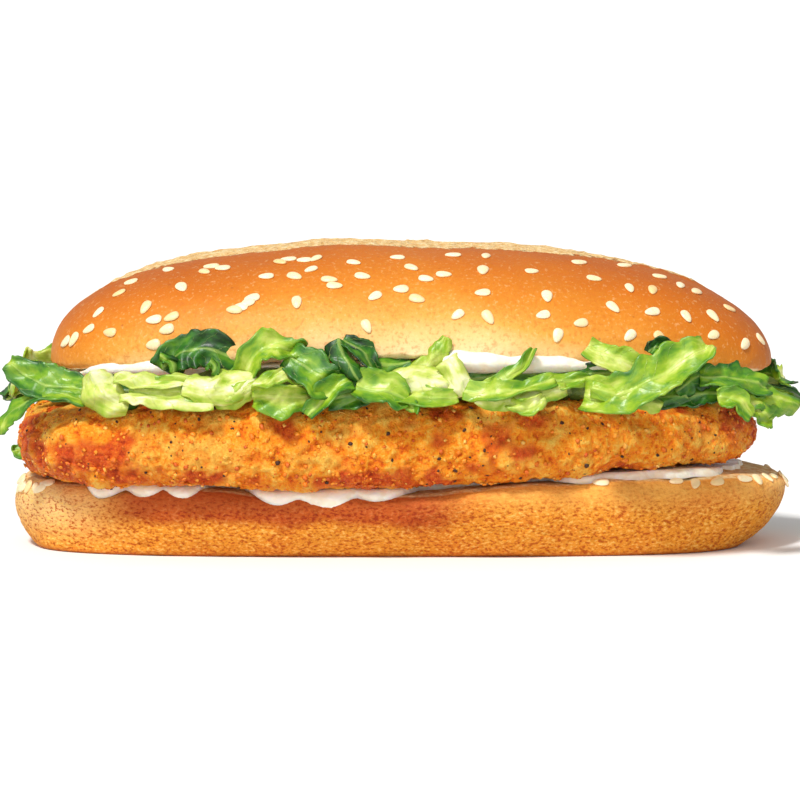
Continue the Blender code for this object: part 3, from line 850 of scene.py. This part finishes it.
def make_round_leaves():
    """The rest of the heap: two rows of uneven leaves that stick out round the sides and back."""
    heap = Heap("lettuce_sides", 8)
    chance = heap.chance
    half_length, half_width = (bed_high.x - bed_low.x) / 2, (bed_high.y - bed_low.y) / 2
    for step in range(ROUND_LEAVES):
        turn = radians(4 + 172 * (step + chance.uniform(-0.4, 0.4)) / (ROUND_LEAVES - 1))
        place = oval(np.array([turn]), 2 * half_length, 2 * half_width, ROLL_SQUARENESS)[0]
        out = Vector((place[0], place[1], 0)).normalized()
        beside = Vector((-out.y, out.x, 0))
        upper = step % 2
        level = (6.2 if upper else 1.4) + chance.uniform(-1, 1) - 2 * abs(cos(turn)) ** 3
        reach = chance.uniform(3, 8) * MM
        lean = beside * chance.uniform(-6, 6) * MM
        root = Vector((place[0], place[1], fillet_crest + level * MM)) - out * (10 + 3 * upper) * MM
        rise = Vector((0, 0, chance.uniform(-0.5, 1.5) * MM))
        knee = root + out * (9 * MM - reach * 0.2) + lean * 0.6 + rise
        bend = chance.choice((-2, 0, 3) if upper else (-6, -4, -2)) * MM * abs(sin(turn))
        tip = knee + out * reach * 0.25 + lean + Vector((0, 0, bend))
        face = out * 0.9 + Vector((0, 0, 0.8)) + beside * chance.uniform(-0.5, 0.5)
        green = chance.choice((0.16, 0.3, 0.42, 0.55, 0.7, 0.84))
        width = chance.uniform(7, 13) * MM
        heap.leaf((root, knee, tip), width, face, chance.uniform(-1, 1), green, chance.uniform(0.5, 1.4))
    return heap.finish(LEAF)


crown_low, crown_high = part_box("bun_crown")
crown_middle = (crown_low + crown_high) / 2
crown_length, crown_width = crown_high.x - crown_low.x, crown_high.y - crown_low.y
crown_seat = crown_low.z


def crown_cut_height(x):
    """Height of the crown's arched cut face at this place along the roll."""
    return crown_seat + CROWN_ARCH * (1 - (2 * (x - crown_middle.x) / crown_length) ** 2)


def make_heap_core():
    """Packed lettuce under the leaves, fillet to crown: crumpled, deep green, and painted shade in their gaps.
    """
    turns = even_turns(260, bed_high.x - bed_low.x, bed_high.y - bed_low.y, ROLL_SQUARENESS)
    rim = oval(turns, bed_high.x - bed_low.x - 26 * MM, bed_high.y - bed_low.y - 24 * MM, ROLL_SQUARENESS)
    rings = []
    # each ring's share of the rim, and its share of the way up
    profile = (
        (0.2, 0), (0.8, 0), (0.95, 0.1), (1, 0.3), (0.99, 0.55),
        (1, 0.8), (0.95, 0.97), (0.8, 1), (0.2, 1),
    )
    for share, up in profile:
        low = fillet_heights(rim[:, 0] * share)[1] - 0.6 * MM
        arch = crown_cut_height(rim[:, 0] * share) - 1.0 * MM
        rings.append(ring_at(rim * share, low + (arch - low) * up))
    rings = np.array(rings)
    outward = smooth(np.arange(len(rings)), 1, 3) * smooth(-np.arange(len(rings)), -7, -5)
    folds = relief(rings, ((9 * MM, 6 * MM), (4 * MM, 5 * MM), (2 * MM, 1.5 * MM)), 31) * outward[:, None]
    rings[..., :2] *= 1 + (folds / (40 * MM))[..., None]
    # Deep greens: partly the lettuce's own colour, partly painted shade for the gaps between the front and side
    # leaves.
    green = 0.86 + relief(rings, ((6 * MM, 0.9),), 32) + 40 * folds
    core = body_of_rings("lettuce_core", rings, LEAF, green=green)
    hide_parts("lettuce")
    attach(core, "root")
    return core


make_heap_core()
make_front_leaves()
make_round_leaves()


# ---- The upper mayonnaise ------------------------------------------------------------
# The same cold sauce, spread thick on the crown's cut face before the crown was laid on the lettuce. It
# shows between lettuce and bread as soft round lobes, cream and wet.

# Lobes at the front: place along the roll, half their width, how far out they reach, in mm
UPPER_LOBES = (
    (-75, 6.0, 3.6),
    (-66, 8.0, 4.4),
    (-58, 7.0, 4.2),
    (11, 6.0, 5.0),
    (17, 8.0, 4.7),
    (25, 9.0, 4.4),
    (34, 9.0, 4.0),
    (41, 5.0, 3.4),
    (66, 7.0, 3.6),
    (74, 7.0, 4.2),
)


def make_upper_mayonnaise():
    turns = even_turns(420, crown_length, crown_width, ROLL_SQUARENESS)
    edge = oval(turns, crown_length - 6 * MM, crown_width - 6 * MM, ROLL_SQUARENESS)
    reach = wet_edge(edge, UPPER_LOBES, -2.0 * MM, 6)
    outward = np.gradient(edge, axis=0)[:, ::-1] * (1, -1)
    outward /= np.linalg.norm(outward, axis=1, keepdims=True)
    squeezed = np.clip(reach, 0, 5 * MM)
    deep = 1.6 * MM + 0.3 * squeezed

    def under_crown(share, drop):
        where = edge * share if np.isscalar(share) else edge * share[:, None]
        height = crown_cut_height(where[:, 0] + crown_middle.x) - 0.1 * MM - drop
        return ring_at(where, height)

    rings = [under_crown(0.1, 1.8 * MM), under_crown(0.6, 1.8 * MM)]
    for turn in np.linspace(-pi / 2, pi / 2, 17):
        where = edge * 0.82 + (edge * 0.18 + outward * reach[:, None]) * abs(cos(turn)) ** 0.6
        height = crown_cut_height(where[:, 0] + crown_middle.x) - 0.1 * MM - deep * (1 - sin(turn)) / 2
        proud = smooth(squeezed * abs(cos(turn)) ** 0.6, 2.2 * MM, 3.4 * MM)
        rings.append(ring_at(where, height + proud * (1 + sin(turn)) * 0.35 * squeezed))
    rings += [under_crown(0.6, 0), under_crown(0.1, 0)]
    rings = np.array(rings)
    rings[..., :2] += (crown_middle.x, crown_middle.y)
    return body_of_rings("mayonnaise_above", rings, MAYONNAISE)


upper_mayonnaise = make_upper_mayonnaise()
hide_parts("mayo_upper")
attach(upper_mayonnaise, "root")


# ---- The crown -----------------------------------------------------------------------
# The roll's upper half: a smooth, satin, golden-brown dome, brown at its ends and crest and pale where the
# crust stayed soft above the cut. Along its crest, from a little in front of it, runs the pale rough tear
# where the roll was pulled from its neighbour.

CROWN_LIP = 1.6 * MM
CROWN_LIP_TUCK = 3 * MM
CROWN_CREST_BACK = 6 * MM
CROWN_LEFT_FULLNESS = 3.8
CROWN_RIGHT_FULLNESS = 3.0
CROWN_SIDE_FULLNESS = 2.4


def crown_crust():
    material, place = new_material("crown_crust")
    x, y, z = place.axis("X"), place.axis("Y"), place.axis("Z")
    wide = place.grain(24 * MM, 2)
    middle = abs(x + 3 * MM) * (1 / (80 * MM))
    height = (z - crown_seat) * (1 / (crown_high.z - crown_seat))
    uneven = 0.28 * (wide - 0.5) + 0.06 * (place.grain(3 * MM, 3) - 0.5)
    baked = height * 0.92 + middle * middle * 0.6 + uneven
    crust = baked.colours(
        (0.16, srgb(240, 214, 164)),
        (0.32, srgb(238, 194, 124)),
        (0.46, srgb(230, 160, 66)),
        (0.64, srgb(214, 132, 36)),
        (0.84, srgb(198, 108, 20)),
        (1.00, srgb(182, 92, 14)),
    )
    fleck = place.grain(0.9 * MM, 3, 0.6)
    crust = (fleck.between(0.56, 0.72) * 0.22).tint(crust, srgb(255, 226, 170))
    crust = (fleck.between(0.5, 0.32) * 0.42).tint(crust, srgb(198, 104, 30))
    freckle = place.cells(7 * MM).between(0.07, 0.03)
    crust = (freckle * 0.45).tint(crust, srgb(150, 76, 30))
    rough = place.grain(1.3 * MM, 4, 0.65)
    torn = rough.colours(
        (0.3, srgb(206, 152, 86)), (0.5, srgb(232, 194, 134)), (0.7, srgb(247, 226, 180))
    )
    ragged = y + 4 * MM * (rough - 0.5) + 7 * MM * (place.grain(9 * MM, 3, 0.6) - 0.5)
    front_rim = middle**4 * (9 * MM) - 6.2 * MM
    tear = (ragged - front_rim).between(-0.5 * MM, 0.6 * MM)
    tear = tear * (ragged + front_rim).between(6.5 * MM, 4.5 * MM)
    tear = tear * (z + 8 * MM * (wide - 0.5)).between(54 * MM, 60 * MM)
    crust = tear.tint(crust, torn)
    below = place.node("NewGeometry", {}, {}, "Normal").axis("Z").between(-0.75, -0.92)
    crumb = place.grain(1.5 * MM, 4).between(0.4, 0.62).tint(srgb(232, 184, 122), srgb(250, 228, 180))
    crust = below.tint(crust, crumb)
    edge = (z - crown_seat).between(2.2 * MM, 0.4 * MM) * (1 - below)
    crust = (edge * 0.35).tint(crust, srgb(204, 116, 44))
    satin = fleck * 0.12 * MM + place.grain(0.35 * MM, 2) * 0.06 * MM + tear * rough * 1.0 * MM
    roughness = 0.42 + 0.12 * fleck + 0.35 * tear
    bump = satin.bumps()
    sockets = {"Base Color": crust, "Roughness": roughness, "Normal": bump, "Specular IOR Level": 0.22}
    finish_surface(place, sockets, 0.08, (1, 0.5, 0.2), 0.8 * MM)
    return material


def crown_rings():
    turns = even_turns(560, crown_length, crown_width, ROLL_SQUARENESS)
    tuck = 2 * CROWN_LIP_TUCK
    cut = oval(turns, crown_length - tuck, crown_width - tuck, ROLL_SQUARENESS)
    belly = oval(turns, crown_length, crown_width, ROLL_SQUARENESS)

    def above_cut(points, rise):
        return ring_at(points, crown_cut_height(points[:, 0] + crown_middle.x) + rise)

    rings = [above_cut(cut * share, 0) for share in np.linspace(0.05, 1, 9)]
    for turn in np.linspace(0, pi / 2, 8)[1:]:
        rings.append(above_cut(cut + (belly - cut) * sin(turn), CROWN_LIP * (1 - cos(turn))))
    crest = np.array((0, CROWN_CREST_BACK))
    dome = crown_high.z - crown_seat - CROWN_ARCH - CROWN_LIP
    end = np.where(np.cos(turns) > 0, CROWN_RIGHT_FULLNESS, CROWN_LEFT_FULLNESS)
    fullness = CROWN_SIDE_FULLNESS + (end - CROWN_SIDE_FULLNESS) * np.cos(turns) ** 2
    for turn in np.linspace(0, pi / 2, 64)[1:-1]:
        share = cos(turn) ** (2 / fullness)
        rings.append(above_cut(crest + (belly - crest) * share[:, None], CROWN_LIP + dome * sin(turn)))
    return np.array(rings)


def make_crown():
    rings = crown_rings()
    normals = face_normals(rings)
    y, z = rings[..., 1] + crown_middle.y, rings[..., 2]
    push = relief(rings, ((30 * MM, 1.0 * MM), (11 * MM, 0.35 * MM), (2.5 * MM, 0.07 * MM)), 41)
    tear = smooth(y, -5.6 * MM, -3.6 * MM) * smooth(-y, -11 * MM, -8 * MM) * smooth(z, 56 * MM, 61 * MM)
    push += tear * (0.2 * MM + relief(rings, ((2.6 * MM, 0.5 * MM), (1.1 * MM, 0.3 * MM)), 42))
    lip = smooth(crown_cut_height(rings[..., 0]) - z, -2.5 * MM, -1 * MM)
    push += relief(rings, ((2.0 * MM, 0.5 * MM),), 43) * lip
    rings = rings + normals * push[..., None]
    rings[..., :2] += (crown_middle.x, crown_middle.y)
    return body_of_rings("crown_bread", rings, crown_crust())


crown = make_crown()
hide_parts("bun_crown")
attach(crown, "root")


# ---- The sesame seeds ----------------------------------------------------------------
# Hulled sesame seeds pressed into the wet dough before baking, thick on the crown and sparse on the heel's
# shoulder. Each is a flat drop about 3.6 mm long, cream to lightly toasted, half sunk into the crust.


def drop_shape(around=14, along=9):
    """A seed of length 2 along X, with its pointed end at +X, as corners and faces."""
    corners, faces = [], []
    for i in range(along):
        bend = pi * i / (along - 1)
        x = -cos(bend)
        half = sin(bend) ** 0.85 * (0.62 - 0.17 * x)
        for j in range(around):
            turn = 2 * pi * j / around
            deep = 0.27 * sin(bend) ** 0.7 * sin(turn) * (1 - 0.25 * cos(turn) ** 2)
            corners.append((x, half * cos(turn), deep))
    for i in range(along - 1):
        for j in range(around):
            k = (j + 1) % around
            a, b = i * around, (i + 1) * around
            faces.append((a + k, a + j, b + j, b + k))
    return np.array(corners), faces


def seed_skin():
    material, place = new_material("sesame_seed")
    each = place.kept("each")
    speck = place.grain(0.8 * MM, 3)
    cream = each.colours(
        (0.0, srgb(250, 226, 176)), (0.6, srgb(252, 234, 198)), (1.0, srgb(240, 204, 142))
    )
    cream = (speck.between(0.5, 0.75) * 0.3).tint(cream, srgb(226, 176, 106))
    sockets = {"Base Color": cream, "Roughness": 0.4, "Normal": (speck * 0.1 * MM).bumps()}
    finish_surface(place, sockets, 0.2, (1, 0.7, 0.4), 0.7 * MM)
    return material


def surface_tree(piece):
    mesh = piece.data
    return BVHTree.FromPolygons([v.co for v in mesh.vertices], [p.vertices for p in mesh.polygons])


# Seeds on the crown's front: place along the roll and height, in millimetres, and lean in degrees
CROWN_SEEDS = (
    (-82, 47, 80), (-75.5, 46, 40), (-73.5, 46.5, 70), (-70, 48.8, 35), (-65, 48, 0), (-55, 45.2, 10),
    (-55, 50.8, 12), (-57, 53.6, 85), (-51, 51.4, 30), (-52, 48.6, 20), (-49, 58.2, 130), (-63.5, 57, 60),
    (-61, 59.6, 35), (-34, 54.5, 40), (-35.5, 53.6, 10), (-33, 55.6, 20), (-36.8, 53, 5), (-23, 54.6, 95),
    (-30, 60.6, 10), (-27, 64, 150), (-25.2, 64.6, 20), (-21.6, 64.4, 10), (-19, 64.8, 70), (-20, 62.2, 45),
    (-23.6, 60.6, 150), (-15.8, 59.8, 170), (-14.6, 58.4, 175), (-8.4, 60.6, 165), (-10.4, 63.8, 160),
    (-5.6, 56, 40), (0.2, 57.6, 5), (-7.4, 49.2, 115), (3.8, 55.4, 160), (5.8, 60, 165), (2.6, 62.6, 140),
    (-0.6, 65, 0), (9.8, 61, 175), (12, 65.6, 5), (18.4, 56.8, 8), (18.6, 62, 80), (19.4, 65.4, 60),
    (12.8, 51.8, 40), (19.6, 51.2, 120), (29.6, 61.8, 175), (32.8, 56, 85), (31.8, 51.8, 15), (40.2, 50, 10),
    (40.6, 64, 172), (43.6, 60.2, 155), (47.6, 53.6, 120), (51, 63.4, 165), (51.6, 58, 85), (56.8, 57.6, 60),
    (56.4, 52.6, 10), (58.8, 60.8, 150), (51.2, 47.2, 40), (58, 46.8, 125), (64.2, 51.6, 95), (67, 57.4, 5),
    (70.4, 51.8, 100), (70.2, 47.4, 20), (77.6, 45.4, 30), (81.6, 46.6, 125), (-42.6, 63, 20), (-52.6, 62.4, 0),
    (-44, 61.8, 160), (-40, 62.6, 10), (35, 47.2, 70), (74.6, 53.6, 140), (63.4, 58.8, 30), (-68, 52.6, 75),
)
# Seeds on the heel's shoulder, in the same way
HEEL_SEEDS = (
    (-84.5, 13.0, 75), (-81.6, 12.6, 40), (-80, 13.8, 20), (-86.8, 13, 80), (45, 14.2, 5), (62, 14.4, 10),
    (66.4, 13.8, 60), (71.4, 14.2, 15), (78, 14.8, 170), (81, 14.6, 60), (83.6, 15.0, 80), (85.4, 15.2, 20),
)
# How many more lie behind the crest and all round the heel, and where
BACK_SEEDS = 70
SEED_LINE = 50 * MM
SHOULDER_SEEDS = 26
SHOULDER_REACH = (88 * MM, 37 * MM)
# The listed seeds lie where a line at this slope meets the crust
LOOK_DOWN = radians(5.5)


def seed_at(point, normal, turn, chance):
    half = chance.uniform(1.65, 1.95) * MM
    size = (half, half * chance.uniform(0.95, 1.12), half * chance.uniform(0.9, 1.1))
    return lie_on(point + normal * 0.10 * half, normal, turn, size), chance.random()


def make_seeds():
    chance = Random(17)
    crown_skin, heel_skin = surface_tree(crown), surface_tree(heel)
    look = Vector((0, cos(LOOK_DOWN), -sin(LOOK_DOWN)))
    places = []
    for skin, listed in ((crown_skin, CROWN_SEEDS), (heel_skin, HEEL_SEEDS)):
        for x, z, lean in listed:
            start = Vector((x * MM, 0, z * MM)) - look * 0.2
            point, normal, _, _ = skin.ray_cast(start, look)
            if point is not None:
                places.append(seed_at(point, normal, radians(lean), chance))
    for _ in range(BACK_SEEDS):
        x, y = chance.uniform(-74, 78) * MM, chance.uniform(15, 34) * MM
        point, normal, _, _ = crown_skin.ray_cast(Vector((x, y, 0.2)), Vector((0, 0, -1)))
        if point is not None and point.z > SEED_LINE:
            places.append(seed_at(point, normal, chance.uniform(0, pi), chance))
    for _ in range(SHOULDER_SEEDS):
        turn = radians(chance.uniform(-25, 205))
        x, y = SHOULDER_REACH[0] * cos(turn), SHOULDER_REACH[1] * sin(turn)
        start = Vector((x * 1.5, y * 1.5, chance.uniform(13.4, 15) * MM))
        point, normal, _, _ = heel_skin.ray_cast(start, Vector((-x, -y, 0)).normalized())
        if point is not None:
            places.append(seed_at(point, normal, chance.uniform(0, pi), chance))
    scatter("sesame_seeds", drop_shape(), places, seed_skin())


make_seeds()


# ---- The table, the light and the camera ---------------------------------------------
# The burger stands on a white sweep. A key sun stands high at its front left, and a wide, weak one low in
# front stands for a card. To all but the camera the floor is a little darker. The camera looks slightly
# down on the open front through a long lens.


def make_studio():
    scene = bpy.context.scene
    scene.view_settings.view_transform = "Standard"
    floor_material, place = new_material("white_floor")
    seen = place.node("LightPath", {}, {}, "Is Camera Ray")
    white = seen.tint(srgb(226, 224, 220), srgb(250, 250, 250))
    finish_surface(place, {"Base Color": white, "Roughness": 0.9})
    half = 10.0
    corners = np.array([(-half, -half, 0), (half, -half, 0), (half, half, 0), (-half, half, 0)])
    floor = make_piece("floor", corners, [(0, 1, 2, 3)], floor_material)
    floor.location.z = -0.02 * MM

    world = bpy.data.worlds.new("white_cards")
    scene.world = world
    world.use_nodes = True
    world.node_tree.nodes.clear()
    start = Wire(world.node_tree)
    seen = start.node("LightPath", {}, {}, "Is Camera Ray")
    light = start.node("Background", {}, {"Color": (1, 1, 1, 1), "Strength": 0.42 + 0.8 * seen})
    start.node("OutputWorld", {}, {"Surface": light})

    def shine(name, energy, spread, colour, source):
        sun = bpy.data.lights.new(name, "SUN")
        sun.energy = energy
        sun.angle = radians(spread)
        sun.color = colour
        lamp = bpy.data.objects.new(name, sun)
        lamp.rotation_euler = Vector(source).to_track_quat("Z", "Y").to_euler()
        scene.collection.objects.link(lamp)

    shine("key", 3, 10, (1, 0.985, 0.96), (-0.30, -0.55, 0.85))
    shine("front_card", 1.25, 50, (1, 1, 1), (-0.15, -1.0, 0.12))

    distance = 1.1
    target = Vector((0, 0, 0.477 * cad_high.z))
    lens = bpy.data.cameras.new("camera")
    lens.lens = 215.5
    lens.clip_start = 0.05
    camera = bpy.data.objects.new("camera", lens)
    camera.location = target + Vector((0, -cos(LOOK_DOWN), sin(LOOK_DOWN))) * distance
    camera.rotation_euler = (pi / 2 - LOOK_DOWN, 0, 0)
    scene.collection.objects.link(camera)
    scene.camera = camera


make_studio()
